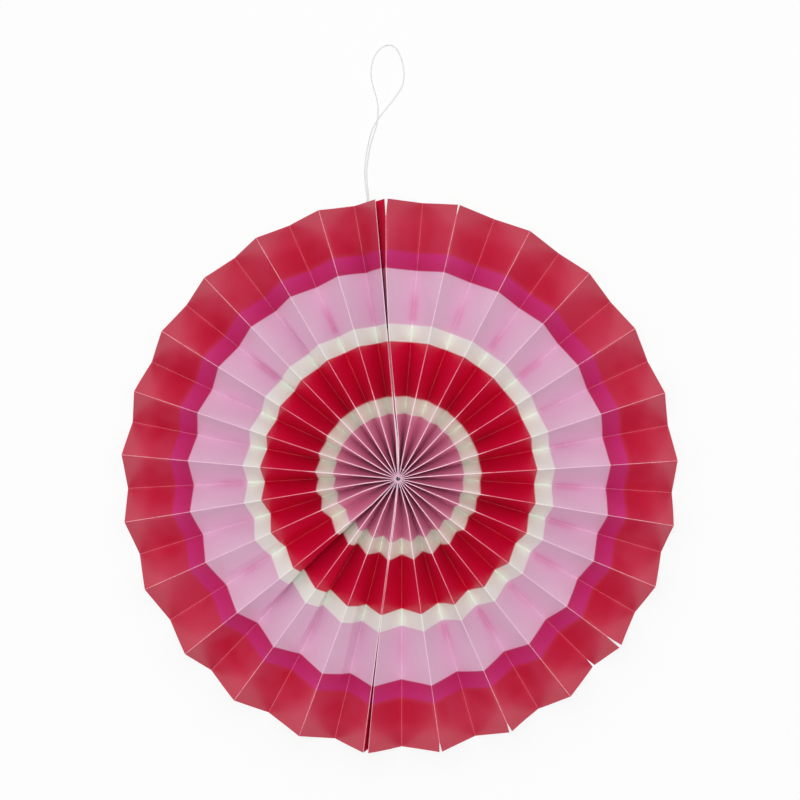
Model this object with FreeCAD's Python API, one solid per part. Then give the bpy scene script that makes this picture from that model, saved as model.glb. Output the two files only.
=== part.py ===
import FreeCAD, Part
import math
import os

import Mesh

# Paper fan rosette, lying on its back: two pleated half strips joined into a disc.
# Millimetres and degrees. +Z comes out of the printed face and +Y points to the hanging loop.
# The origin is on the hub's axis, on the surface that the fan lies on.
# Angles run clockwise from +Y, seen from the front.

# Driving dimensions of the paper
FAN_RADIUS = 150.0
HUB_DEPTH = 26.0
RIM_DEPTH = 18.0
PAPER = 0.18
LAYER_GAP = 0.05

# Each pleat: its opening at the rim, from ridge to ridge, how far its first ridge strays
# sideways near the hub, and how far its valley lies off its middle at the rim. Clockwise is
# positive.
RIGHT_PLEATS = (
    (14.9, 0.8, -0.1), (15.6, -0.5, 0.1), (15.0, 0.7, 0.2), (14.7, 0.2, 0.2), (14.6, 0.5, 0.3),
    (14.2, 0.8, 0.0), (13.4, -0.4, 0.4), (13.1, 0.9, -0.1), (14.3, 0.0, 0.0), (14.6, 0.6, -0.1),
    (14.4, 0.2, 0.2), (15.1, -0.5, 0.0), (14.9, -2.1, 0.8),
)
LEFT_PLEATS = (
    (13.7, -0.4, -0.5), (15.4, 1.4, 0.1), (14.0, 0.7, 0.5), (15.8, -2.0, -0.6), (14.6, 1.7, -0.4),
    (14.0, 0.7, -0.5), (13.4, 0.0, -0.1), (13.7, -0.2, -0.3), (14.1, -0.4, -0.1),
    (13.5, -0.1, 0.3), (14.1, -0.3, -0.1), (11.8, 0.2, 1.3),
)
LAST_STRAY = 1.0
FIRST_RIDGE_ANGLE = -2.5
STRAY_START = 20.0

# Seams: the end panels are glue flaps that hang down face to face, with tape between them.
# Each seam has its tape's thickness, how far it opens past the tape at the rim, and how far the
# flaps' edges lean away from the other ridge at the rim. The tape lies a little below the ridges.
TAPE_DROP = 1.0
TAPE_WIDTH = 11.0
TAPE_SPAN = (34.0, 80.0)
FLAP_WIDTH = 15.0
TOP_SEAM = (0.8, 4.7, 4.4)
BOTTOM_SEAM = (0.2, 2.2, -4.0)
SEAM_CURVE = 1.5

# Folds of the right half whose outer ends have split: the fold's number, the split's length
# and its gap at the rim
LONG_SPLIT = 9.0
SHORT_SPLIT = 5.0
RIGHT_SPLITS = {
    0: (LONG_SPLIT, 1.6), 2: (SHORT_SPLIT, 0.9), 18: (LONG_SPLIT, 1.7), 19: (SHORT_SPLIT, 1.4),
    22: (SHORT_SPLIT, 1.5), 24: (SHORT_SPLIT, 1.3),
}

# Thread that gathers the pleats at the hub, and the punched holes that it runs through. It runs
# level with the middle of the flaps, so that it goes through them as well.
GATHER_RING_RADIUS = 5.0
GATHER_HEIGHT = HUB_DEPTH - FLAP_WIDTH / 2
GATHER_THREAD = 0.6
GATHER_HOLE_CLEARANCE = 0.3

# Hanging thread, its hole through both flaps of the top seam, and its stopper knot
THREAD = 0.7
STRAND_SPACING = 0.85
THREAD_HOLE_INSET = 12.5
THREAD_HOLE_HEIGHT = 9.0
THREAD_HOLE_RADIUS = 1.2
KNOT_RADIUS = 1.5
KNOT_CLEARANCE = 0.02
THREAD_IN_KNOT = 0.7
LYING = THREAD / 2

# The thread's route from its first bend to its last: X, distance past the rim and height
THREAD_ROUTE = (
    (-17.4, -8.8, 6.4), (-18.0, -3.3, 2.3), (-17.3, 1.9, LYING), (-18.4, 8.7, LYING),
    (-19.0, 16.8, LYING), (-18.1, 25.6, LYING), (-16.4, 34.5, LYING), (-14.7, 40.2, LYING),
    (-11.3, 46.0, LYING), (-5.3, 53.2, LYING), (-0.4, 59.5, LYING), (2.3, 64.4, LYING),
    (2.9, 69.9, LYING), (2.2, 75.4, LYING), (0.3, 81.2, LYING), (-2.4, 85.0, LYING),
    (-5.8, 86.1, LYING), (-9.7, 84.5, LYING), (-13.0, 81.0, LYING), (-14.9, 75.8, LYING),
    (-15.6, 70.1, LYING), (-14.6, 64.2, LYING), (-12.8, 58.8, LYING), (-11.6, 53.6, 0.7),
    (-11.4, 49.4, 1.7), (-11.8, 44.4, 1.7), (-12.9, 39.8, 0.7), (-14.4, 35.4, LYING),
    (-15.9, 30.4, LYING), (-16.9, 24.6, LYING), (-17.9, 17.2, LYING), (-17.4, 9.0, LYING),
    (-16.4, 1.8, LYING), (-17.2, -3.4, 2.6), (-16.6, -8.8, 6.6),
)
FIRST_BEND_X = -17.8
LAST_BEND_X = -16.8
ARC_SHARE = 0.45

FOLD = PAPER + LAYER_GAP
LAYERS = 2 * (len(RIGHT_PLEATS) + len(LEFT_PLEATS)) + 4
HUB_RADIUS = LAYERS * FOLD / (2 * math.pi)
HUB_PITCH = 2 * math.pi / LAYERS
FLAP_DEPTHS = (TAPE_DROP, TAPE_WIDTH, FLAP_WIDTH)
SEWING_TOLERANCE = 0.001


def stations():
    """Distances from the hub's axis at which the folded strip is laid out."""
    inner = [HUB_RADIUS, (HUB_RADIUS + STRAY_START) / 2, STRAY_START]
    taped = [TAPE_SPAN[0], (TAPE_SPAN[0] + TAPE_SPAN[1]) / 2, TAPE_SPAN[1]]
    free = FAN_RADIUS - LONG_SPLIT - TAPE_SPAN[1]
    outer = [TAPE_SPAN[1] + free / 2, FAN_RADIUS - LONG_SPLIT, FAN_RADIUS - SHORT_SPLIT]
    return inner + taped + outer + [FAN_RADIUS]


def ridge_height(radius):
    """A ridge's height over the valleys: the panels keep their width while the pleats open."""
    share = radius / FAN_RADIUS
    return math.sqrt(HUB_DEPTH**2 * (1 - share**2) + RIM_DEPTH**2 * share**2)


def opened_share(radius):
    """How far the pleats have come apart from their stack at the hub: 0 there, 1 past it."""
    return min(1.0, (radius - HUB_RADIUS) / (STRAY_START - HUB_RADIUS))


def stray_share(radius):
    """How much of a fold's stray is left at this radius: none at the hub or at the rim."""
    rise = opened_share(radius)
    return rise**2 * (3 - 2 * rise) * (1 - radius / FAN_RADIUS)


def seam_gap(radius, seam):
    """Distance between the two ridges of a seam: two layers at the hub, then the tape's gap,
    and wider past the tape."""
    tape, opening, _ = seam
    past_tape = max(0.0, (radius - TAPE_SPAN[1]) / (FAN_RADIUS - TAPE_SPAN[1]))
    base = 2 * FOLD + (PAPER + tape - FOLD) * opened_share(radius)
    return base + opening * past_tape**SEAM_CURVE


def half_folds(pleats, first_angle, scale, last_stray):
    """Direction and stray of every fold of one half."""
    strays = [stray for _, stray, _ in pleats] + [last_stray]
    folds = [(first_angle, strays[0])]
    for number, (opening, stray, off_middle) in enumerate(pleats):
        start = folds[-1][0]
        middle = start + math.radians(opening) * scale / 2 + math.radians(off_middle)
        folds.append((middle, (stray + strays[number + 1]) / 2))
        folds.append((start + math.radians(opening) * scale, strays[number + 1]))
    return folds


def lay_out():
    """Both halves' folds as (direction, angle at the hub, stray)."""
    top = seam_gap(FAN_RADIUS, TOP_SEAM) / FAN_RADIUS
    bottom = seam_gap(FAN_RADIUS, BOTTOM_SEAM) / FAN_RADIUS
    spread = math.radians(sum(pleat[0] for pleat in RIGHT_PLEATS + LEFT_PLEATS))
    scale = (2 * math.pi - top - bottom) / spread
    right = half_folds(RIGHT_PLEATS, math.radians(FIRST_RIDGE_ANGLE), scale, LEFT_PLEATS[0][1])
    left = half_folds(LEFT_PLEATS, right[-1][0] + bottom, scale, LAST_STRAY)
    layers = [number + 1 for number in range(len(right))]
    layers += [len(right) + 2 + number for number in range(len(left))]
    strip = right + left
    turn = sum(fold[0] - layer * HUB_PITCH for fold, layer in zip(strip, layers)) / len(strip)
    folds = [(fold[0], turn + layer * HUB_PITCH, fold[1]) for fold, layer in zip(strip, layers)]
    return folds[:len(right)], folds[len(right):]


RIGHT_FOLDS, LEFT_FOLDS = lay_out()


def fold_angle(fold, radius):
    """A fold runs straight along its own direction, from its place on the hub's circle."""
    direction, hub_angle, stray = fold
    aside = HUB_RADIUS * math.sin(hub_angle - direction) + stray * stray_share(radius)
    return direction + math.asin(aside / radius)


def seam_offsets(radius, seam):
    """Sideways places across a seam, from its leading ridge: the leading flap's fold and edge,
    then the other flap's edge and fold."""
    tape, _, lean = seam
    lead_edge = FOLD / 2 - lean * (radius - HUB_RADIUS) / (FAN_RADIUS - HUB_RADIUS)
    other_edge = lead_edge + FOLD + (PAPER + tape - FOLD) * opened_share(radius)
    return FOLD / 2, lead_edge, other_edge, seam_gap(radius, seam) - FOLD / 2


def seam_angles(lead, side, seam, radius):
    """Angles across a seam: down the leading flap at FLAP_DEPTHS, up the other flap at the same
    depths, and the other ridge."""
    lead_fold, lead_edge, other_edge, other_fold = seam_offsets(radius, seam)
    shares = [depth / FLAP_WIDTH for depth in FLAP_DEPTHS]
    offsets = [lead_fold + (lead_edge - lead_fold) * share for share in shares]
    offsets += [other_fold + (other_edge - other_fold) * share for share in reversed(shares)]
    start = fold_angle(lead, radius)
    return [start + side * offset / radius for offset in offsets + [other_fold + FOLD / 2]]


def half_tip(number, splits, radius):
    """Half the width of a fold's flat tip, or of the gap where its outer end has split."""
    if number not in splits:
        return FOLD / 2
    length, gap = splits[number]
    share = max(0.0, (radius - FAN_RADIUS + length) / length)
    return FOLD / 2 + (gap - FOLD) / 2 * share


def half_section(first_flap, ridge_angles, last_flap, splits, radius):
    """One half's corners at this radius, clockwise: angle and height of the paper's middle. The
    first flap's angles come from its edge up, the last flap's from its fold down."""
    high = PAPER / 2 + ridge_height(radius)
    corners = [(angle, high - depth) for angle, depth in zip(first_flap, reversed(FLAP_DEPTHS))]
    for number, angle in enumerate(ridge_angles):
        height = high if number % 2 == 0 else PAPER / 2
        tip = half_tip(number, splits, radius) / radius
        corners += [(angle - tip, height), (angle + tip, height)]
    return corners + [(angle, high - depth) for angle, depth in zip(last_flap, FLAP_DEPTHS)]


def sections(radius):
    """The corners of the right half and of the left half at this radius."""
    top = seam_angles(LEFT_FOLDS[-1], 1, TOP_SEAM, radius)
    bottom = seam_angles(LEFT_FOLDS[0], -1, BOTTOM_SEAM, radius)
    count = len(FLAP_DEPTHS)
    after_turn = [angle - 2 * math.pi for angle in top[count:]]
    middle = [fold_angle(fold, radius) for fold in RIGHT_FOLDS[1:-1]]
    right_angles = [after_turn[count]] + middle + [bottom[2 * count]]
    left_angles = [fold_angle(fold, radius) for fold in LEFT_FOLDS]
    right_end = bottom[count:2 * count][::-1]
    right = half_section(after_turn[:count], right_angles, right_end, RIGHT_SPLITS, radius)
    left = half_section(bottom[:count][::-1], left_angles, top[:count], {}, radius)
    return right, left


def place(angle, radius, height):
    """The point at this angle clockwise from +Y."""
    return FreeCAD.Vector(radius * math.sin(angle), radius * math.cos(angle), height)


def paper_faces(section, radius):
    """Front and back points of the paper at one section's corners, mitred at the folds."""
    middles = [place(angle, radius, height) for angle, height in section]
    normals = []
    for number in range(len(section) - 1):
        outward = place((section[number][0] + section[number + 1][0]) / 2, 1.0, 0.0)
        normal = (middles[number + 1] - middles[number]).cross(outward)
        normals.append(normal.normalize())
    front, back = [], []
    for number, middle in enumerate(middles):
        before = normals[max(number - 1, 0)]
        after = normals[min(number, len(normals) - 1)]
        mitre = (before + after).normalize()
        offset = mitre * (PAPER / 2 / mitre.dot(before))
        front.append(middle + offset)
        back.append(middle - offset)
    return front, back


def sheet_solid(front, back, cells):
    """A closed solid between two grids of points, [station][corner], over the given cells."""
    triangles = []

    def add_triangle(first, second, third):
        triangles.append((first, second, third))

    for station, corner in cells:
        here, there = (station, corner), (station, corner + 1)
        far_there, far_here = (station + 1, corner + 1), (station + 1, corner)
        falls = front[station][corner].z >= front[station][corner + 1].z
        if falls:
            halves = ((here, there, far_there), (here, far_there, far_here))
        else:
            halves = ((here, there, far_here), (there, far_there, far_here))
        for half in halves:
            add_triangle(*(front[row][column] for row, column in half))
            add_triangle(*(back[row][column] for row, column in reversed(half)))
        edges = ((here, there, (station - 1, corner)), (there, far_there, (station, corner + 1)),
                 (far_there, far_here, (station + 1, corner)), (far_here, here, (station, corner - 1)))
        for start, end, neighbour in edges:
            if neighbour in cells:
                continue
            front_start, front_end = front[start[0]][start[1]], front[end[0]][end[1]]
            back_start, back_end = back[start[0]][start[1]], back[end[0]][end[1]]
            add_triangle(front_end, front_start, back_start)
            add_triangle(front_end, back_start, back_end)
    shape = Part.Shape()
    shape.makeShapeFromMesh(Mesh.Mesh(triangles).Topology, SEWING_TOLERANCE)
    return Part.makeSolid(shape)


def paper_cells(corner_count, splits, radii):
    """Every cell of a half's grid, without the tips of the folds that have split."""
    cells = set()
    for station in range(len(radii) - 1):
        for corner in range(corner_count - 1):
            fold, on_flank = divmod(corner - len(FLAP_DEPTHS), 2)
            length = splits[fold][0] if fold in splits and not on_flank else 0.0
            if radii[station + 1] <= FAN_RADIUS - length or length == 0.0:
                cells.add((station, corner))
    return cells


def tape_solid(lead_faces, other_faces, radii):
    """A tape's strip between the printed faces of a seam's two flaps."""
    taped = [number for number, radius in enumerate(radii)
             if TAPE_SPAN[0] <= radius <= TAPE_SPAN[1]]
    lead = [lead_faces[number] for number in taped]
    other = [other_faces[number] for number in taped]
    return sheet_solid(other, lead, {(number, 0) for number in range(len(taped) - 1)})


def thread_hole():
    """Centre of the punched hole on each flap of the top seam, and the other flap's slant."""
    radius = FAN_RADIUS - THREAD_HOLE_INSET
    offsets = seam_offsets(radius, TOP_SEAM)
    lead_fold, lead_edge, other_edge, other_fold = offsets
    share = (PAPER / 2 + ridge_height(radius) - THREAD_HOLE_HEIGHT) / FLAP_WIDTH
    lead = lead_fold + (lead_edge - lead_fold) * share
    other = other_fold + (other_edge - other_fold) * share
    start = fold_angle(LEFT_FOLDS[-1], radius)
    centres = [place(start + offset / radius, radius, THREAD_HOLE_HEIGHT)
               for offset in (lead, other)]
    return centres, math.atan2(other_fold - other_edge, FLAP_WIDTH)


def knot_centre():
    """The knot sits against the back of the flap that its strands come through last."""
    (_, flap_centre), slant = thread_hole()
    out = (PAPER / 2 + KNOT_RADIUS + KNOT_CLEARANCE) / math.cos(slant)
    return flap_centre + FreeCAD.Vector(out, 0, 0)


def thread_points():
    """The thread's whole route, from its end in the knot round to its other end there."""
    knot = knot_centre()
    start_x = knot.x - KNOT_RADIUS + THREAD_IN_KNOT
    points = []
    for x, side in ((start_x, -0.5), (FIRST_BEND_X, -0.5)):
        points.append(FreeCAD.Vector(x, knot.y + side * STRAND_SPACING, knot.z))
    points += [FreeCAD.Vector(x, FAN_RADIUS + past, height) for x, past, height in THREAD_ROUTE]
    for x, side in ((LAST_BEND_X, 0.5), (start_x, 0.5)):
        points.append(FreeCAD.Vector(x, knot.y + side * STRAND_SPACING, knot.z))
    return points


def cord_path(points):
    """Straight runs between the points, joined by tangent arcs."""
    edges, radii = [], []
    start = points[0]
    for before, point, after in zip(points, points[1:], points[2:]):
        arriving, leaving = (point - before).normalize(), (after - point).normalize()
        trim = ARC_SHARE * min((point - before).Length, (after - point).Length)
        half_turn = arriving.getAngle(leaving) / 2
        radii.append(trim / math.tan(half_turn))
        inward = (leaving - arriving).normalize()
        reach = radii[-1] / math.cos(half_turn) - radii[-1]
        arc_start, arc_end = point - arriving * trim, point + leaving * trim
        edges.append(Part.LineSegment(start, arc_start).toShape())
        edges.append(Part.Arc(arc_start, point + inward * reach, arc_end).toShape())
        start = arc_end
    edges.append(Part.LineSegment(start, points[-1]).toShape())
    return Part.Wire(edges), radii


def make_thread():
    points = thread_points()
    path, radii = cord_path(points)
    profile = Part.Wire(Part.makeCircle(THREAD / 2, points[0], points[1] - points[0]))
    tube = path.makePipeShell([profile], True, False)
    expected = math.pi * (THREAD / 2) ** 2 * path.Length
    print(f"thread: length {path.Length:.1f}, volume {tube.Volume:.2f} for {expected:.2f}")
    print("thread radii:", " ".join(f"{radius:.1f}" for radius in radii))
    return tube


def make_paper():
    """Both halves with their punched holes, and the tapes between their flaps."""
    radii = stations()
    rings = [sections(radius) for radius in radii]
    faces = []
    for half, splits in ((0, RIGHT_SPLITS), (1, {})):
        pairs = [paper_faces(ring[half], radius) for ring, radius in zip(rings, radii)]
        front, back = [pair[0] for pair in pairs], [pair[1] for pair in pairs]
        cells = paper_cells(len(front[0]), splits, radii)
        faces.append((front, sheet_solid(front, back, cells)))
    (right_front, right), (left_front, left) = faces

    top_tape = tape_solid([row[-3:-1] for row in left_front],
                          [[row[2], row[1]] for row in right_front], radii)
    bottom_tape = tape_solid([row[-3:-1] for row in right_front],
                             [[row[2], row[1]] for row in left_front], radii)

    middle = FreeCAD.Vector(0, 0, GATHER_HEIGHT)
    ring_hole = Part.makeTorus(GATHER_RING_RADIUS, GATHER_THREAD / 2 + GATHER_HOLE_CLEARANCE, middle)
    (lead_centre, other_centre), _ = thread_hole()
    reach = FreeCAD.Vector(2 * THREAD_HOLE_RADIUS, 0, 0)
    hole = Part.makeCylinder(THREAD_HOLE_RADIUS, (other_centre - lead_centre).Length + 2 * reach.x,
                             lead_centre - reach, FreeCAD.Vector(1, 0, 0))
    return right.cut(ring_hole).cut(hole), left.cut(ring_hole).cut(hole), top_tape, bottom_tape


def make_gathering_thread():
    middle = FreeCAD.Vector(0, 0, GATHER_HEIGHT)
    return Part.makeTorus(GATHER_RING_RADIUS, GATHER_THREAD / 2, middle)


def main():
    right, left, top_tape, bottom_tape = make_paper()
    thread = make_thread()
    knot = Part.makeSphere(KNOT_RADIUS, knot_centre()).cut(thread)
    nodes = {
        "right_half": right,
        "left_half": left,
        "top_seam_tape": top_tape,
        "bottom_seam_tape": bottom_tape,
        "gathering_thread": make_gathering_thread(),
        "hanging_thread": thread,
        "thread_knot": knot,
    }
    os.makedirs("parts", exist_ok=True)
    for name, shape in nodes.items():
        print(name, len(shape.Solids), "solid,", len(shape.Faces), "faces, volume",
              round(shape.Volume, 2), "valid", shape.isValid())
        shape.exportStep(f"parts/{name}.step")


main()
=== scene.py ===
import math

import bpy
import numpy as np
from mathutils import Matrix, Vector


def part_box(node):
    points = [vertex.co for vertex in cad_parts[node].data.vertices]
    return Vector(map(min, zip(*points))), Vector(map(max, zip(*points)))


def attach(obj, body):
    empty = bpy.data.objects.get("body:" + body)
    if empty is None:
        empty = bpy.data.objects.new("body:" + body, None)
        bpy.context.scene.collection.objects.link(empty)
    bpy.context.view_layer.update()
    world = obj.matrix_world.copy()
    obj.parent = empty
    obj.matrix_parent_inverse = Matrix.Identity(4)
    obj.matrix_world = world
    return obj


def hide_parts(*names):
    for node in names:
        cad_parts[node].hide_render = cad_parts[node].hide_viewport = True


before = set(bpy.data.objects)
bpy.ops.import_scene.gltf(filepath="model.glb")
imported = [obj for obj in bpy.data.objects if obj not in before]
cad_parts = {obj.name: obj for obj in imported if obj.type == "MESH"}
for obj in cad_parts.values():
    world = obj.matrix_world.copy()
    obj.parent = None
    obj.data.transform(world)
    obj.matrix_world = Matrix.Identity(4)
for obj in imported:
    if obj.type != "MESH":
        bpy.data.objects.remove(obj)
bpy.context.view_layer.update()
mm = 0.001
print("paper fan: frame loaded")


# Shading: a socket that can be used in plain expressions

class Wire:
    def __init__(self, tree, socket=None):
        self.tree, self.socket = tree, socket

    def node(self, kind, settings, inputs, output=0):
        made = self.tree.nodes.new(kind)
        for name, value in settings.items():
            if name == "stops":
                ramp = made.color_ramp
                while len(ramp.elements) < len(value):
                    ramp.elements.new(1.0)
                for element, (place, colour) in zip(ramp.elements, value):
                    element.position, element.color = place, opaque(colour)
            else:
                setattr(made, name, value)
        for name, value in inputs.items():
            if isinstance(value, Wire):
                self.tree.links.new(value.socket, made.inputs[name])
            else:
                made.inputs[name].default_value = value
        return Wire(self.tree, made.outputs[output] if made.outputs else None)

    def maths(self, operation, first, second=0.0):
        return self.node("ShaderNodeMath", {"operation": operation}, {0: first, 1: second})

    def vectorMaths(self, operation, first, second, output=0):
        return self.node("ShaderNodeVectorMath", {"operation": operation}, {0: first, 1: second},
                         output)

    def __add__(self, other): return self.maths("ADD", self, other)
    def __radd__(self, other): return self.maths("ADD", other, self)
    def __sub__(self, other): return self.maths("SUBTRACT", self, other)
    def __rsub__(self, other): return self.maths("SUBTRACT", other, self)
    def __mul__(self, other): return self.maths("MULTIPLY", self, other)
    def __rmul__(self, other): return self.maths("MULTIPLY", other, self)

    def attribute(self, name):
        return self.node("ShaderNodeAttribute", {"attribute_name": name}, {}, "Fac")

    def noise(self, scale, detail=2.0, rough=0.5, stretch=None):
        at = self.node("ShaderNodeTexCoord", {}, {}, "Object")
        if stretch:
            at = self.vectorMaths("MULTIPLY", at, stretch)
        return self.node("ShaderNodeTexNoise", {}, {"Vector": at, "Scale": scale, "Detail": detail,
                                                    "Roughness": rough}, "Fac")

    def fade(self, start, end):  # 1 up to start, 0 from end on, or the other way if end is less
        return self.node("ShaderNodeMapRange", {"interpolation_type": "SMOOTHSTEP"},
                         {"Value": self, "From Min": start, "From Max": end,
                          "To Min": 1.0, "To Max": 0.0})

    def tint(self, mask, first, second, blend="MIX"):
        return self.node("ShaderNodeMix", {"data_type": "RGBA", "blend_type": blend},
                         {"Factor": mask, 6: first, 7: second}, 2)

    def bump(self, height, distance, strength, under=None):
        inputs = {"Height": height, "Distance": distance, "Strength": strength}
        if under:
            inputs["Normal"] = under
        return self.node("ShaderNodeBump", {}, inputs)


def newMaterial(name):
    material = bpy.data.materials.new(name)
    material.use_nodes = True
    material.node_tree.nodes.clear()
    return material, Wire(material.node_tree)


def surface(start, inputs):
    shader = start.node("ShaderNodeBsdfPrincipled", {}, inputs)
    start.node("ShaderNodeOutputMaterial", {}, {"Surface": shader})


def linear(red, green, blue):  # a colour written as on a screen, 0 to 255
    return tuple(((c / 255 + 0.055) / 1.055) ** 2.4 if c > 10 else c / 255 / 12.92
                 for c in (red, green, blue))


def opaque(colour):
    return (*colour, 1.0)


# Printed paper: rings of ink from the hub outwards, in mm from the hub's axis, with painted sheen and
# painted shade laid over the ink

printing = {
    "rings": (  # outer border, ink, half width of the border's blur
        (34.6, linear(237, 157, 190), 0.12),
        (44.0, linear(250, 250, 240), 0.12),
        (73.8, linear(209, 0, 58), 0.12),
        (83.6, linear(236, 240, 232), 0.12),
        (113.0, linear(225, 185, 210), 0.15),
        (118.0, linear(188, 38, 98), 4.0),
        (122.9, linear(196, 44, 118), 0.7),
        # outer red band: its ink is lighter than the inner red's because painted sheen is in it, and a
        # little darker again at the rim
        (143.0, linear(192, 44, 74), 4.0),
        (152.0, linear(184, 38, 66), 0.12),
    ),
    "borderWander": 0.35,
    "wanderScale": 45.0,
    "outOfRound": (-0.38, 0.13),    # the rings' own shape: twice and once round the fan, mm
    # painted sheen: soft pale patches laid over the whole print
    "unevenSheen": {"ink": linear(255, 235, 240), "scale": 60.0, "strength": 0.1},
    # painted shade patches: where they begin, are full, fade and end, mm; noise scale; noise where full
    # and gone
    # painted shade: deep crimson patches in the outer red where its painted sheen is left out
    "sheenGap": {"ink": linear(190, 4, 52), "span": (122.5, 126.0, 134.0, 144.0),
               "scale": 26.0, "cut": (0.6, 0.42), "strength": 0.75},
    # painted shade: deeper pink beside the valleys of the pink ring
    "valleyShade": {"ink": linear(216, 120, 172), "span": (84.0, 87.0, 94.0, 106.0),
               "scale": 31.0, "cut": (0.58, 0.4), "strength": 0.4, "besideValley": 8.0},
    "roughness": 0.45,
    "roughWander": 0.12,
    "bareRoughness": 0.25,
    "coatRoughness": 0.35,
    "innerEnd": (72.0, 84.0),       # the inner rings fade out here, and the coat begins, mm
    "grain": {"scale": 2500.0, "distance": 0.00002, "strength": 0.25},
    "relief": {"scale": 75.0, "distance": 0.0008, "strength": 0.3},
}
# Worn folds: the line along a fold where the ink has cracked off the paper
wear = {
    "width": 0.11,                  # half the line's width, mm
    "blur": 0.08,
    "bare": linear(255, 215, 226),
    "hubBare": linear(216, 182, 202),
    "hubSpan": (3.0, 12.0),
    "nearHub": (42.0, 52.0),
    "frayScale": 900.0,
    "patchScale": 120.0,
    "ridgeFray": 0.3,
    "ridgePatch": 0.14,
    "valleyFray": 0.2,
    # opacity of the line: everywhere, by patches, more near the hub, less in the inner rings
    "ridge": (0.34, 0.28, 0.63, 0.13),
    "valley": (0.22, 0.3, 0.0, 0.17),
}
# The seams' flaps stand in their own shade: 0.6 of their ring ink gives way to painted light and shade,
# a bright crimson outwards for light through the paper and a darker painted shade inwards
sheetLooks = {
    "printedPaper": {"coat": 0.3, "specular": 0.5, "flap": 0.0},
    "flapPaper": {"coat": 0.0, "specular": 0.0, "flap": 0.6},
}
flapLightAndShade = {"open": linear(224, 22, 66), "flapShade": linear(165, 40, 90), "span": (98.0, 122.0)}


def ringStops(rings, rim):
    stops, last = [(0.0, rings[0][1])], rings[0]
    for ring in rings[1:]:
        border, blur = last[0], last[2]
        stops += [((border - blur) / rim, last[1]), ((border + blur) / rim, ring[1])]
        last = ring
    return stops


# painted shade in noisy patches along the rings, mixed over the ink
def withPaintedShade(start, ink, along, shadePatch):
    begins, full, fades, ends = shadePatch["span"]
    mask = (1.0 - along.fade(begins, full)) * along.fade(fades, ends)
    if "besideValley" in shadePatch:
        mask = mask * start.attribute("valleyDistance").fade(0.0, shadePatch["besideValley"])
    mask = mask * start.noise(shadePatch["scale"]).fade(*shadePatch["cut"])
    return start.tint(mask * shadePatch["strength"], ink, opaque(shadePatch["ink"]))


def ringInk(start, along):
    rim = printing["rings"][-1][0]
    wander = (start.noise(printing["wanderScale"]) - 0.5) * printing["borderWander"]
    ink = start.node("ShaderNodeValToRGB", {"stops": ringStops(printing["rings"], rim)},
                     {"Fac": (along + wander) * (1.0 / rim)}, "Color")
    # painted uneven sheen: soft light of a pale pink over the ink in noisy patches
    unevenSheen = printing["unevenSheen"]
    sheenSpread = start.noise(unevenSheen["scale"], 3.0) * unevenSheen["strength"]
    ink = start.tint(sheenSpread, ink, opaque(unevenSheen["ink"]), "SOFT_LIGHT")
    # painted shade: sheen gaps in the outer red and deeper pink beside the valleys
    for shadePatch in ("sheenGap", "valleyShade"):
        ink = withPaintedShade(start, ink, along, printing[shadePatch])
    return ink


def crackLine(start, distance, fray):  # 1 on the fold's bare line, 0 beside it
    edge = start.attribute(distance) - fray
    return edge.fade(wear["width"] - wear["blur"], wear["width"] + wear["blur"])


def opacity(parts, patchy, nearHub, inside):
    plain, patches, more, less = parts
    return plain + patchy * patches + nearHub * more - inside * less


def printedMaterial(name):
    look = sheetLooks[name]
    material, start = newMaterial(name)
    along = start.attribute("hubDistance")
    # painted light and shade for the flaps: bright crimson outwards, darker inwards
    paintedFlapLight = start.tint(along.fade(*flapLightAndShade["span"]), opaque(flapLightAndShade["open"]),
                       opaque(flapLightAndShade["flapShade"]))
    ink = start.tint(look["flap"], ringInk(start, along), paintedFlapLight)

    frayed = start.noise(wear["frayScale"], 3.0, 0.7) - 0.5
    patchy = start.noise(wear["patchScale"], 2.0, 0.6)
    nearHub, inside = along.fade(*wear["nearHub"]), along.fade(*printing["innerEnd"])
    ridge = crackLine(start, "ridgeDistance",
                      frayed * wear["ridgeFray"] + (patchy - 0.5) * wear["ridgePatch"])
    ridge = ridge * opacity(wear["ridge"], patchy, nearHub, inside)
    valley = crackLine(start, "valleyDistance", frayed * wear["valleyFray"])
    valley = valley * opacity(wear["valley"], patchy, nearHub, inside)
    bare = start.tint(along.fade(*wear["hubSpan"]), opaque(wear["bare"]), opaque(wear["hubBare"]))
    for line in (ridge, valley):
        ink = start.tint(line, ink, bare)

    rough = printing["roughness"] + (start.noise(30.0) - 0.5) * printing["roughWander"]
    grain, relief = printing["grain"], printing["relief"]
    normal = start.bump(start.noise(grain["scale"], 3.0, 0.6), grain["distance"], grain["strength"])
    normal = start.bump(start.noise(relief["scale"]), relief["distance"], relief["strength"], normal)
    surface(start, {"Base Color": ink, "Roughness": rough + ridge * printing["bareRoughness"],
                    "Normal": normal, "Specular IOR Level": look["specular"],
                    "Coat Weight": look["coat"] * (1.0 - ridge) * (1.0 - inside),
                    "Coat Roughness": printing["coatRoughness"]})
    return material


def whiteMaterial():
    material, start = newMaterial("whitePaper")
    fibre = start.noise(1400.0, 4.0, 0.6)
    cloud = start.noise(70.0)
    colour = start.tint(cloud * 0.5, opaque(linear(246, 243, 238)), opaque(linear(238, 234, 230)))
    colour = start.tint(fibre * 0.25, colour, opaque(linear(228, 224, 220)))
    surface(start, {"Base Color": colour, "Roughness": 0.7 + cloud * 0.15,
                    "Normal": start.bump(fibre, 0.00004, 0.35)})
    return material


def threadMaterial():
    material, start = newMaterial("whiteThread")
    fuzz = start.noise(3800.0, 3.0, 0.65)
    colour = start.tint(fuzz, opaque(linear(206, 210, 209)), opaque(linear(234, 236, 234)))
    surface(start, {"Base Color": colour, "Roughness": 0.8 + fuzz * 0.1,
                    "Sheen Weight": 0.2, "Normal": start.bump(fuzz, 0.00006, 0.6)})
    return material


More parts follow.
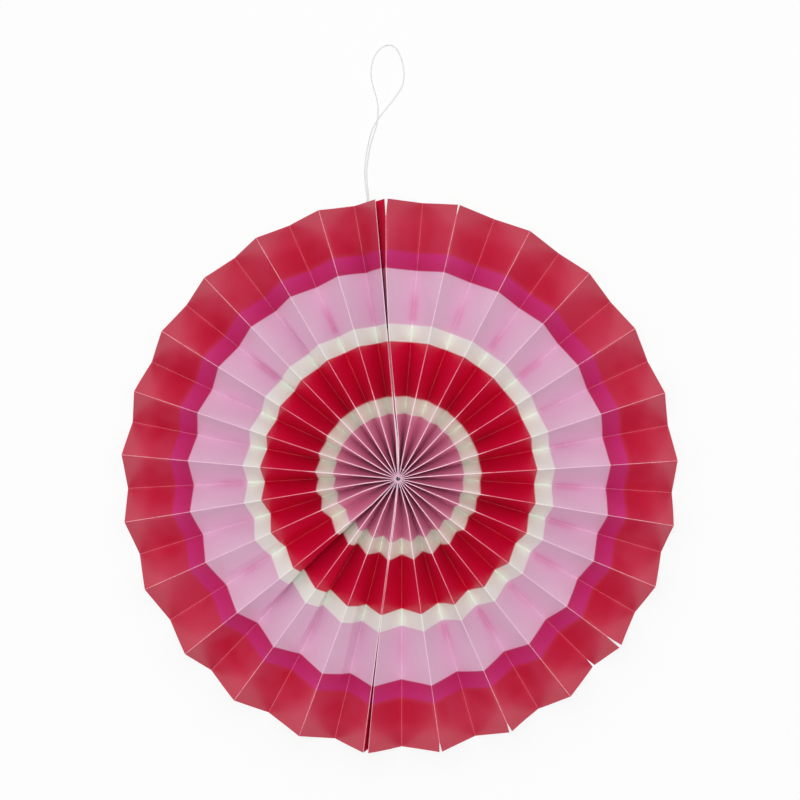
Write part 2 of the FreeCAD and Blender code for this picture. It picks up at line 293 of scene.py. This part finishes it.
def shadedTapeMaterial():
    # thin film coloured with painted shade and the painted red reflection of the paper beside it
    material, start = newMaterial("paperTapeShaded")
    crepe = start.noise(1300.0, 3.0, 0.6, stretch=(1.0, 0.25, 1.0))
    colour = start.tint(crepe, opaque(linear(150, 92, 106)), opaque(linear(182, 128, 138)))
    surface(start, {"Base Color": colour, "Roughness": 0.72 + crepe * 0.15,
                    "Normal": start.bump(crepe, 0.00008, 0.6)})
    return material


# Folded paper: fold lines read from the frame, then a fine sheet with its bows and dents

paper = {  # mm
    "sheet": 0.18,
    "foldTip": 0.23,       # flat width of a fold's tip
    "tipRounding": 0.05,
    "flapWidth": 15.0,
    "hubHole": 1.15,       # radius where the pressed layers begin
    "pressed": 0.93,       # share of its room that a pressed layer fills there
    "calm": 20.0,          # distance from the axis that always has a row of the grid
    "row": 2.0,            # grid step along the folds
    "column": 2.6,         # grid step across a panel
    "fineColumn": 1.0,     # grid step across a pinched panel
    "seed": 11,
    "bow": {"depth": 0.3125, "waves": 3, "lengths": (28.0, 90.0), "lean": 1.5,
            "heights": (0.3, 1.0), "begins": 14.0, "grows": 40.0, "pinchedShare": 0.3},
    "halves": {  # splits: the fold's number, the split's length and its gap at the rim
        "right_half": {"middle": 90.0, "firstLayer": 0,
                       "splits": {0: (9.0, 1.6), 2: (5.0, 0.9), 18: (9.0, 1.7), 19: (5.0, 1.4),
                                  22: (5.0, 1.5), 24: (5.0, 1.3)}},
        "left_half": {"middle": 270.0, "firstLayer": 28, "splits": {}},
    },
    "ringHole": {"along": 5.0, "height": 18.5, "radius": 0.6},
    "threadHole": {"along": 137.5, "height": 9.0, "radius": 1.2},
    "away": 26.0,          # stands for the distance to a fold that a place isn't beside
    "sharpFrom": 28.0,     # degrees
}
# A pinch: a panel has given way along a second crease, and has pulled its valley sideways.
# By the valley's direction in degrees: how far out along the fan, the valley's pull, and the
# crease's distance from the ridge, mm.
pinches = {
    224.2: ((22, 44, 74, 84, 92, 100, 108), (0.0, 1.5, 2.3, 2.1, 1.2, 0.45, 0.0),
            (6.0, 6.8, 10.2, 12.2, 14.2, 16.3, 18.0)),
    209.2: ((22, 44, 74, 84, 94, 104, 112), (0.0, 0.8, 2.2, 1.4, 0.7, 0.2, 0.0),
            (8.0, 8.5, 11.0, 13.2, 15.5, 17.5, 18.5)),
    193.9: ((58, 74, 86, 104, 120), (0.0, 0.35, 0.5, 0.4, 0.0), (10.0, 11.0, 12.0, 15.0, 18.0)),
    238.1: ((50, 66, 90, 110), (0.0, 0.3, 0.3, 0.0), (12.0, 12.0, 15.0, 18.0)),
    309.0: ((60, 74, 92, 108), (0.0, 0.3, 0.35, 0.0), (14.0, 15.0, 17.0, 18.0)),
    323.0: ((64, 78, 96, 112), (0.0, 0.3, 0.35, 0.0), (14.0, 15.0, 17.0, 18.0)),
}
pinchReach = 2.5   # degrees between a valley and its pinch's key
# Reading the frame: what tells a ring of corners from stray points, and a flap's edge
reading = {"ringPoints": 90, "ringBlur": 0.08, "pastHoles": 3.0, "foldGap": 3.0, "edgeHeight": 2.0}


def smooth(value):
    value = np.clip(value, 0.0, 1.0)
    return value * value * (3 - 2 * value)


def unit(vectors, axis):
    return vectors / np.expand_dims(np.linalg.norm(vectors, axis=axis), axis)


def readRings(node, middle):
    points = np.array([v.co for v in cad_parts[node].data.vertices]) / mm
    points = np.unique(points.round(3), axis=0)
    along = np.hypot(points[:, 0], points[:, 1])
    values, counts = np.unique(along.round(1), return_counts=True)
    holesEnd = paper["ringHole"]["along"] + reading["pastHoles"]
    rings = []
    for value in values[(counts > reading["ringPoints"]) & (values > holesEnd)]:
        ring = points[np.abs(along - value) < reading["ringBlur"]]
        angle = np.degrees(np.arctan2(ring[:, 0], ring[:, 1]))
        angle = (angle - middle + 180.0) % 360.0 - 180.0 + middle
        rings.append((value, angle, ring[:, 2]))
    return rings


def clusters(angles):
    angles = np.sort(angles)
    groups = np.split(angles, np.flatnonzero(np.diff(angles) > reading["foldGap"]) + 1)
    return [group.mean() for group in groups]


def readFolds(node, middle):
    radii, folds, flaps = [], [], []
    tip = 2 * paper["sheet"]
    for along, angle, height in readRings(node, middle):
        top = height.max()
        ridges = clusters(angle[height > top - tip])
        valleys = clusters(angle[height < tip])
        flat = (height >= tip) & (height <= top - tip)
        edge = flat & (height < height[flat].min() + reading["edgeHeight"])
        ends = [angle[edge & (angle < middle)].mean(), angle[edge & (angle > middle)].mean()]
        radii.append(along)
        folds.append(sorted(ridges + valleys))
        flaps.append(ends)
    return np.array(radii), np.radians(folds), np.radians(flaps)


def measureFan():
    fan = {"halves": {}}
    for node, half in paper["halves"].items():
        radii, folds, flaps = readFolds(node, half["middle"])
        count = folds.shape[1]
        fan["halves"][node] = {"radii": radii, "folds": folds, "flaps": flaps, "count": count,
                               "splits": half["splits"],
                               "layers": half["firstLayer"] + 1 + np.arange(count)}
        print("paper fan:", node, "has", count, "folds on", len(radii), "rings")
    fan["rim"] = radii[-1]
    fan["hubDepth"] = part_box("right_half")[1].z / mm - paper["sheet"]
    rimTop = max(v.co.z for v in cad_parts["right_half"].data.vertices
                 if math.hypot(v.co.x, v.co.y) > (fan["rim"] - 0.1) * mm) / mm
    fan["rimDepth"] = rimTop - paper["sheet"]
    halves = fan["halves"].values()
    layers = sum(half["count"] for half in halves) + 2
    fan["pitch"] = 2 * math.pi / layers
    fan["hub"] = layers * paper["foldTip"] / (2 * math.pi)
    turns = [half["folds"][-1] - half["layers"] * fan["pitch"] for half in halves]
    turn = np.concatenate(turns).mean()
    for half in halves:
        half["hubAngles"] = turn + half["layers"] * fan["pitch"]
    return fan


def ridgeTop(fan, along):
    hub, rim = fan["hubDepth"] ** 2, fan["rimDepth"] ** 2
    return paper["sheet"] / 2 + np.sqrt(hub + (rim - hub) * (along / fan["rim"]) ** 2)


def lineAngle(fan, radii, hubAngle, angles, along):
    # runs straight from ring to ring, from its own place in the stack at the hub
    rings = np.concatenate([[fan["hub"]], radii])
    turned = np.concatenate([[hubAngle], angles])
    x = np.interp(along, rings, rings * np.sin(turned))
    y = np.interp(along, rings, rings * np.cos(turned))
    near = np.interp(along, rings, turned)
    return near + (np.arctan2(x, y) - near + math.pi) % (2 * math.pi) - math.pi


def fillGaps(values, step):
    filled = []
    values = sorted(values)
    for low, high in zip(values, values[1:]):
        count = max(1, math.ceil((high - low) / step - 1e-6))
        filled += [low + (high - low) * number / count for number in range(count)]
    return filled + [values[-1]]


def holeLines(centre, radius):
    return [centre + radius * part for part in (-1.0, -0.5, 0.0, 0.5, 1.0)]


def pinchOf(half, fold):  # the pinch at this valley, if it has one
    turned = math.degrees(half["folds"][-1, fold]) % 360
    return next((pinches[angle] for angle in pinches if abs(angle - turned) < pinchReach), None)


def layPanels(fan, node):
    # every column of the grid: its panel, its share of the panel's width and its holes
    half = fan["halves"][node]
    count = half["count"]
    hungPanel = -1 if node == "right_half" else count - 1
    columns = []
    for panel in range(-1, count):
        onFlap, falling = panel in (-1, count - 1), panel % 2 == 0
        width = paper["flapWidth"] if onFlap else fan["hubDepth"]
        shares, holes = [0.0, 1.0], []
        for kind in ("ringHole", "threadHole") if panel == hungPanel else ("ringHole",):
            hole = paper[kind]
            at = (ridgeTop(fan, hole["along"]) - hole["height"]) / width
            shares += holeLines(at, hole["radius"] / width)
            holes.append((hole["along"], at if falling else 1.0 - at, hole["radius"], width))
        pinched = not onFlap and not falling and pinchOf(half, panel)
        shares = fillGaps(shares, paper["fineColumn" if pinched else "column"] / width)
        if not falling:
            shares = [1.0 - share for share in reversed(shares)]
        columns += [{"panel": panel, "share": share, "holes": holes, "falling": falling,
                     "flap": onFlap, "tip": None} for share in shares]
        if panel < count - 1:
            columns.append({"panel": panel + 1, "share": 0.0, "holes": [], "falling": True,
                            "flap": False, "tip": panel + 1})
    return columns


def panelBow(rng, along, share):
    # slow waves, none at the folds and none where the layers stand close at the hub
    bow = paper["bow"]
    waves = np.zeros_like(along)
    for _ in range(bow["waves"]):
        length = rng.uniform(*bow["lengths"])
        phase = rng.uniform(0, 2 * math.pi)
        lean = rng.uniform(-bow["lean"], bow["lean"])
        height = rng.uniform(*bow["heights"])
        waves = waves + height * np.sin(2 * math.pi * along / length + phase + lean * share)
    opened = smooth((along - bow["begins"]) / bow["grows"])
    return waves * np.sin(math.pi * share) * opened * bow["depth"]


def foldedOver(first, last, share, normal, pinch, along, path):
    # the panel runs from its valley up to the crease and on to the ridge, as long as before
    out = np.interp(along, pinch[0], pinch[2])
    chord = np.linalg.norm(last - first, axis=1)
    path = np.maximum(path, chord)
    lower = path - out
    foot = (lower ** 2 - out ** 2 + chord ** 2) / (2 * chord)
    lift = np.sqrt(np.maximum(lower ** 2 - foot ** 2, 0.0))
    crease = first + (last - first) * (foot / chord)[:, None] + normal * lift[:, None]
    travelled = share * path
    below = np.clip(travelled / lower, 0, 1)[:, None]
    above = np.clip((travelled - lower) / out, 0, 1)[:, None]
    return first + (crease - first) * below + (last - crease) * above


def upright(along, angle, height):
    return np.stack([along * np.sin(angle), along * np.cos(angle), height], 1)


def foldCorner(fan, half, fold, side, along, pulled=True):
    # one side of a fold's tip, or its middle; unpulled, where its valley would be without a pinch
    angle = lineAngle(fan, half["radii"], half["hubAngles"][fold], half["folds"][:, fold], along)
    isRidge = fold % 2 == 0
    pinch = None if isRidge or not pulled else pinchOf(half, fold)
    if pinch:
        angle = angle + np.interp(along, pinch[0], pinch[1]) / along
    width = np.minimum(paper["foldTip"], fan["pitch"] * along)
    if fold in half["splits"]:
        length, gap = half["splits"][fold]
        width = width + (gap - paper["foldTip"]) * np.clip((along - fan["rim"] + length) / length, 0, 1)
    top = ridgeTop(fan, along) if isRidge else np.full_like(along, paper["sheet"] / 2)
    inward = paper["tipRounding"] * (-1.0 if isRidge else 1.0) * abs(side)
    return upright(along, angle + side * width / 2 / along, top + inward)


def flapEdge(fan, half, end, along):
    fold, side = (half["count"] - 1, 0.5) if end else (0, -0.5)
    hubAngle = half["hubAngles"][fold] + side * fan["pitch"]
    angle = lineAngle(fan, half["radii"], hubAngle, half["flaps"][:, end], along)
    return upright(along, angle, ridgeTop(fan, along) - paper["flapWidth"])


def aroundHoles(column, along):
    # the grid's lines around a hole move onto its circle
    share = np.full(len(along), column["share"])
    for centre, at, radius, width in column["holes"]:
        u, v = (along - centre) / radius, (share - at) * width / radius
        edge = np.isclose(np.maximum(abs(u), abs(v)), 1.0)
        reach = np.where(edge, np.maximum(np.hypot(u, v), 1e-9), 1.0)
        along = np.where(edge, centre + radius * u / reach, along)
        share = np.where(edge, at + radius * v / reach / width, share)
    return along, share


def panelPoints(fan, half, column, along, share, bowSeed):
    # the panel's middle surface, and its distances from its ridge and from its valley
    panel, count = column["panel"], half["count"]
    first = foldCorner(fan, half, panel, 1, along) if panel >= 0 else flapEdge(fan, half, 0, along)
    onLast = panel + 1 == count
    last = flapEdge(fan, half, 1, along) if onLast else foldCorner(fan, half, panel + 1, -1, along)
    across = last - first
    width = np.linalg.norm(across, axis=1)
    points = first + across * share[:, None]
    fromRidge = share * width if column["falling"] else (1 - share) * width
    tip = paper["foldTip"] / 2
    if column["flap"]:
        return points, fromRidge + tip, np.full(len(along), paper["away"] + tip)
    normal = unit(np.cross(across, unit(points * [1, 1, 0], 1)), 1)
    bow = panelBow(np.random.RandomState(bowSeed), along, share)
    pinch = None if column["falling"] else pinchOf(half, panel)
    if pinch:
        path = np.linalg.norm(last - foldCorner(fan, half, panel, 1, along, pulled=False), axis=1)
        points = foldedOver(first, last, share, normal, pinch, along, path)
        bow = bow * paper["bow"]["pinchedShare"]
    return points + normal * bow[:, None], fromRidge + tip, width - fromRidge + tip


def gridPoints(fan, half, rows, columns):
    count = half["count"]
    rng = np.random.RandomState(paper["seed"] + len(columns))
    bowSeeds = {panel: rng.randint(1 << 30) for panel in range(-1, count)}
    middle = np.zeros((len(rows), len(columns), 3))
    marks = np.zeros((len(rows), len(columns), 3))
    twice, once = printing["outOfRound"]
    for number, column in enumerate(columns):
        along, share = aroundHoles(column, np.array(rows))
        tip = column["tip"]
        if tip is None:
            seed = bowSeeds[column["panel"]]
            points, fromRidge, fromValley = panelPoints(fan, half, column, along, share, seed)
        else:
            points = foldCorner(fan, half, tip, 0, along)
            away = np.full(len(rows), paper["away"])
            fromRidge, fromValley = (away * 0, away) if tip % 2 == 0 else (away, away * 0)
        turned = half["folds"][-1, np.clip(column["panel"], 0, count - 1)]
        fromHub = along - twice * math.cos(2 * turned) - once * math.sin(turned)
        middle[:, number] = points
        marks[:, number] = np.stack([fromHub, fromRidge, fromValley], 1)
    return middle, marks


def keptCells(fan, half, rows, columns):
    kept = np.ones((len(rows) - 1, len(columns) - 1), bool)
    middles = (np.array(rows[1:]) + np.array(rows[:-1])) / 2
    for number, (here, there) in enumerate(zip(columns, columns[1:])):
        tip = here["tip"] if here["tip"] is not None else there["tip"]
        if tip in half["splits"]:
            kept[middles > fan["rim"] - half["splits"][tip][0], number] = False
        if tip is None:
            for centre, at, radius, width in here["holes"]:
                share = (here["share"] + there["share"]) / 2
                inside = (np.abs(middles - centre) < radius) & (abs(share - at) * width < radius)
                kept[inside, number] = False
    return kept


def sheetFaces(kept):
    rowCount, columnCount = kept.shape[0] + 1, kept.shape[1] + 1
    offset = rowCount * columnCount
    index = np.arange(offset).reshape(rowCount, columnCount)
    padded = np.pad(kept, 1)
    front, edges = [], []
    for row, column in zip(*np.nonzero(kept)):
        a, b = index[row, column], index[row, column + 1]
        c, d = index[row + 1, column + 1], index[row + 1, column]
        front.append((a, b, c, d))
        around = ((a, b, padded[row, column + 1]), (b, c, padded[row + 1, column + 2]),
                  (c, d, padded[row + 2, column + 1]), (d, a, padded[row + 1, column]))
        edges += [(end, start, start + offset, end + offset)
                  for start, end, filled in around if not filled]
    back = [tuple(point + offset for point in reversed(face)) for face in front]
    return front, back, edges


def thicken(fan, middle):
    along = np.linalg.norm(middle[:, :, :2], axis=2)[:, :, None]
    sheet = np.minimum(paper["sheet"], paper["pressed"] * fan["pitch"] * along)
    outward = middle * [1, 1, 0] / along
    between = (outward[:, 1:] + outward[:, :-1]) / 2
    normal = unit(np.cross(middle[:, 1:] - middle[:, :-1], between), 2)
    before = np.concatenate([normal[:, :1], normal], 1)
    after = np.concatenate([normal, normal[:, -1:]], 1)
    mitre = unit(before + after, 2)
    offset = mitre * (sheet / 2 / np.sum(mitre * before, axis=2)[:, :, None])
    return middle + offset, middle - offset


def gridRows(fan):
    ring, hung = paper["ringHole"], paper["threadHole"]
    splits = fan["halves"]["right_half"]["splits"].values()
    wanted = {paper["hubHole"], fan["hub"], paper["calm"], fan["rim"]}
    wanted |= {fan["rim"] - length for length, gap in splits}
    for hole in (ring, hung):
        wanted |= set(holeLines(hole["along"], hole["radius"]))
    return fillGaps(wanted, paper["row"])


def makeHalf(fan, node, name, materials):
    half, rows, columns = fan["halves"][node], gridRows(fan), layPanels(fan, node)
    middle, marks = gridPoints(fan, half, rows, columns)
    front, back = thicken(fan, middle)
    kept = keptCells(fan, half, rows, columns)
    frontFaces, backFaces, edgeFaces = sheetFaces(kept)
    points = np.concatenate([front.reshape(-1, 3), back.reshape(-1, 3)])
    marks = np.tile(marks.reshape(-1, 3), (2, 1))
    faces = frontFaces + backFaces + edgeFaces
    flaps = [here["flap"] and there["flap"] for here, there in zip(columns, columns[1:])]
    slots = [2 if flaps[column] else 0 for column in np.nonzero(kept)[1]]
    slots += [1] * (len(backFaces) + len(edgeFaces))
    used = np.unique(np.array(faces))
    renumber = np.full(len(points), -1)
    renumber[used] = np.arange(len(used))
    mesh = bpy.data.meshes.new(name)
    mesh.from_pydata((points[used] * mm).tolist(), [], renumber[np.array(faces)].tolist())
    for material in materials:
        mesh.materials.append(material)
    mesh.polygons.foreach_set("material_index", slots)
    mesh.polygons.foreach_set("use_smooth", [True] * len(faces))
    for column, mark in enumerate(("hubDistance", "ridgeDistance", "valleyDistance")):
        layer = mesh.attributes.new(mark, "FLOAT", "POINT")
        layer.data.foreach_set("value", marks[used, column].astype(np.float32))
    mesh.update()
    mesh.set_sharp_from_angle(angle=math.radians(paper["sharpFrom"]))
    piece = bpy.data.objects.new(name, mesh)
    bpy.context.scene.collection.objects.link(piece)
    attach(piece, "root")
    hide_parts(node)
    print("paper fan:", name, "has", len(faces), "faces")


fan = measureFan()
sheetMaterials = (printedMaterial("printedPaper"), whiteMaterial(), printedMaterial("flapPaper"))
makeHalf(fan, "right_half", "rightHalf", sheetMaterials)
makeHalf(fan, "left_half", "leftHalf", sheetMaterials)


# Thread: two strands twisted together, along a smooth line through the route's points

thread = {  # mm
    "diameter": 0.7,
    "twist": 2.6,           # length of one turn
    "strandDepth": 0.2,     # how deep the groove between the strands is, share of the radius
    "around": 12,
    "step": 0.3,
    "length": 228.2,
    "route": (
        (-11.12, 136.54, 9.0), (-17.8, 136.54, 9.0), (-17.4, 141.2, 6.4), (-18.0, 146.7, 2.3),
        (-17.3, 151.9, 0.35), (-18.4, 158.7, 0.35), (-19.0, 166.8, 0.35), (-18.1, 175.6, 0.35),
        (-16.4, 184.5, 0.35), (-14.7, 190.2, 0.35), (-11.3, 196.0, 0.35), (-5.3, 203.2, 0.35),
        (-0.4, 209.5, 0.35), (2.3, 214.4, 0.35), (2.9, 219.9, 0.35), (2.2, 225.4, 0.35),
        (0.3, 231.2, 0.35), (-2.4, 235.0, 0.35), (-5.8, 236.1, 0.35), (-9.7, 234.5, 0.35),
        (-13.0, 231.0, 0.35), (-14.9, 225.8, 0.35), (-15.6, 220.1, 0.35), (-14.6, 214.2, 0.35),
        (-12.8, 208.8, 0.35), (-11.6, 203.6, 0.7), (-11.4, 199.4, 1.7), (-11.8, 194.4, 1.7),
        (-12.9, 189.8, 0.7), (-14.4, 185.4, 0.35), (-15.9, 180.4, 0.35), (-16.9, 174.6, 0.35),
        (-17.9, 167.2, 0.35), (-17.4, 159.0, 0.35), (-16.4, 151.8, 0.35), (-17.2, 146.6, 2.6),
        (-16.6, 141.2, 6.6), (-16.8, 137.39, 9.0), (-11.12, 137.39, 9.0),
    ),
}


def smoothLine(points, name):
    curve = bpy.data.curves.new(name, "CURVE")
    curve.dimensions = "3D"
    curve.resolution_u = 14
    spline = curve.splines.new("NURBS")
    spline.points.add(len(points) - 1)
    for point, place in zip(spline.points, points):
        point.co = (*(value * mm for value in place), 1.0)
    spline.order_u = 3
    spline.use_endpoint_u = True
    holder = bpy.data.objects.new(name, curve)
    bpy.context.scene.collection.objects.link(holder)
    line = bpy.data.meshes.new_from_object(holder)
    found = np.array([v.co for v in line.vertices])
    bpy.data.objects.remove(holder)
    bpy.data.meshes.remove(line)
    return found


def evenly(points, step):
    lengths = np.concatenate([[0.0], np.cumsum(np.linalg.norm(np.diff(points, axis=0), axis=1))])
    count = int(lengths[-1] / step) + 1
    at = np.linspace(0.0, lengths[-1], count)
    return np.stack([np.interp(at, lengths, points[:, axis]) for axis in range(3)], 1)


def twistedThread(name, points):
    radius, around = thread["diameter"] / 2 * mm, thread["around"]
    steps = np.linalg.norm(np.diff(points, axis=0), axis=1)
    travelled = np.concatenate([[0.0], np.cumsum(steps)])
    ahead = unit(np.gradient(points, axis=0), 1)
    side = np.cross(ahead[0], (0.0, 0.0, 1.0))
    rings = []
    for point, direction, distance in zip(points, ahead, travelled):
        side = side - direction * np.dot(side, direction)
        side = side / np.linalg.norm(side)
        up = np.cross(direction, side)
        turn = 2 * math.pi * distance / (thread["twist"] * mm)
        for number in range(around):
            angle = 2 * math.pi * number / around
            reach = radius * (1 - thread["strandDepth"] * abs(math.sin(angle - turn)) ** 3)
            rings.append(point + (side * math.cos(angle) + up * math.sin(angle)) * reach)
    faces = []
    for here in range(0, (len(points) - 1) * around, around):
        for number in range(around):
            after = (number + 1) % around
            faces.append((here + number, here + around + number, here + around + after, here + after))
    faces += [tuple(range(around)), tuple(reversed(range(len(rings) - around, len(rings))))]
    mesh = bpy.data.meshes.new(name)
    mesh.from_pydata([tuple(point) for point in rings], [], faces)
    mesh.polygons.foreach_set("use_smooth", [True] * len(faces))
    mesh.validate()
    piece = bpy.data.objects.new(name, mesh)
    bpy.context.scene.collection.objects.link(piece)
    return piece


def makeThread(finish):
    line = evenly(smoothLine(thread["route"], "threadLine"), thread["step"] * mm)
    piece = twistedThread("hangingThread", line)
    piece.data.materials.append(finish)
    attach(piece, "root")
    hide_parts("hanging_thread")
    print("paper fan: hanging thread laid out")


threadFinish, shadedTapeFinish = threadMaterial(), shadedTapeMaterial()
makeThread(threadFinish)
for node, finish in (("thread_knot", threadFinish), ("gathering_thread", threadFinish),
                     ("top_seam_tape", shadedTapeFinish), ("bottom_seam_tape", shadedTapeFinish)):
    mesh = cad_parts[node].data
    mesh.materials.clear()
    mesh.materials.append(finish)
print("paper fan: thread and tape finishes set")


# Studio: pale floor, soft overhead light, and the photograph's camera

studio = {
    "eye": (15.1, 58.2, 792.3),     # mm
    "target": (0.7, 41.7, 10.0),
    "focal": 1440.8 / 800,          # share of the picture's width
    "sensor": 36.0,
    "world": 0.56,
    "skyTilt": (-0.1, 0.45, 0.0),   # how much brighter the light is from each side
    "floorGlow": 0.6,
    "floorReach": 6.0,              # m
    "softbox": {"place": (0.0, 0.17, 2.2), "size": 0.9, "power": 26.0},
}


def aimed(eye, target):
    back = (Vector(eye) - Vector(target)).normalized()
    right = Vector((0, 1, 0)).cross(back).normalized()
    up = back.cross(right)
    turned = Matrix((right, up, back)).transposed().to_4x4()
    return Matrix.Translation(Vector(eye)) @ turned


def makeCamera():
    data = bpy.data.cameras.new("camera")
    data.sensor_width = studio["sensor"]
    data.lens = studio["focal"] * studio["sensor"]
    data.clip_start = 0.01
    camera = bpy.data.objects.new("camera", data)
    bpy.context.scene.collection.objects.link(camera)
    camera.matrix_world = aimed([v * mm for v in studio["eye"]], [v * mm for v in studio["target"]])
    bpy.context.scene.camera = camera


def seenDirectly(start):
    seen = None
    for ray in ("Is Camera Ray", "Is Glossy Ray", "Is Transmission Ray"):
        light = start.node("ShaderNodeLightPath", {}, {}, ray)
        seen = light if seen is None else start.maths("MAXIMUM", seen, light)
    return seen


def makeFloor():
    mesh = bpy.data.meshes.new("floor")
    reach = studio["floorReach"]
    corners = [(-reach, -reach, 0), (reach, -reach, 0), (reach, reach, 0), (-reach, reach, 0)]
    mesh.from_pydata(corners, [], [(0, 1, 2, 3)])
    floor = bpy.data.objects.new("floor", mesh)
    bpy.context.scene.collection.objects.link(floor)
    material, start = newMaterial("paleFloor")
    lit = start.node("ShaderNodeBsdfDiffuse", {}, {"Color": opaque((0.9, 0.9, 0.9))})
    glow = start.node("ShaderNodeEmission", {}, {"Color": opaque((1, 1, 1)), "Strength": 1.0})
    mixed = start.node("ShaderNodeMixShader", {},
                       {0: seenDirectly(start) * studio["floorGlow"], 1: lit, 2: glow})
    start.node("ShaderNodeOutputMaterial", {}, {"Surface": mixed})
    mesh.materials.append(material)
    floor.location.z = -0.0002


def makeLight():
    world = bpy.data.worlds.new("studio")
    world.use_nodes = True
    world.node_tree.nodes.clear()
    start = Wire(world.node_tree)
    seen = seenDirectly(start)
    way = start.node("ShaderNodeTexCoord", {}, {}, "Generated")
    tilt = start.vectorMaths("DOT_PRODUCT", way, studio["skyTilt"], "Value")
    strength = (tilt + 1.0) * studio["world"] * (1.0 - seen) + seen
    sky = start.node("ShaderNodeBackground", {}, {"Color": opaque((1, 1, 1)), "Strength": strength})
    start.node("ShaderNodeOutputWorld", {}, {"Surface": sky})
    bpy.context.scene.world = world
    box = studio["softbox"]
    data = bpy.data.lights.new("softbox", "AREA")
    data.size, data.energy = box["size"], box["power"]
    lamp = bpy.data.objects.new("softbox", data)
    bpy.context.scene.collection.objects.link(lamp)
    lamp.matrix_world = aimed(box["place"], (0, 0, 0))


makeCamera()
makeFloor()
makeLight()
bpy.context.scene.view_settings.view_transform = "Standard"
print("paper fan: camera, floor and light set")
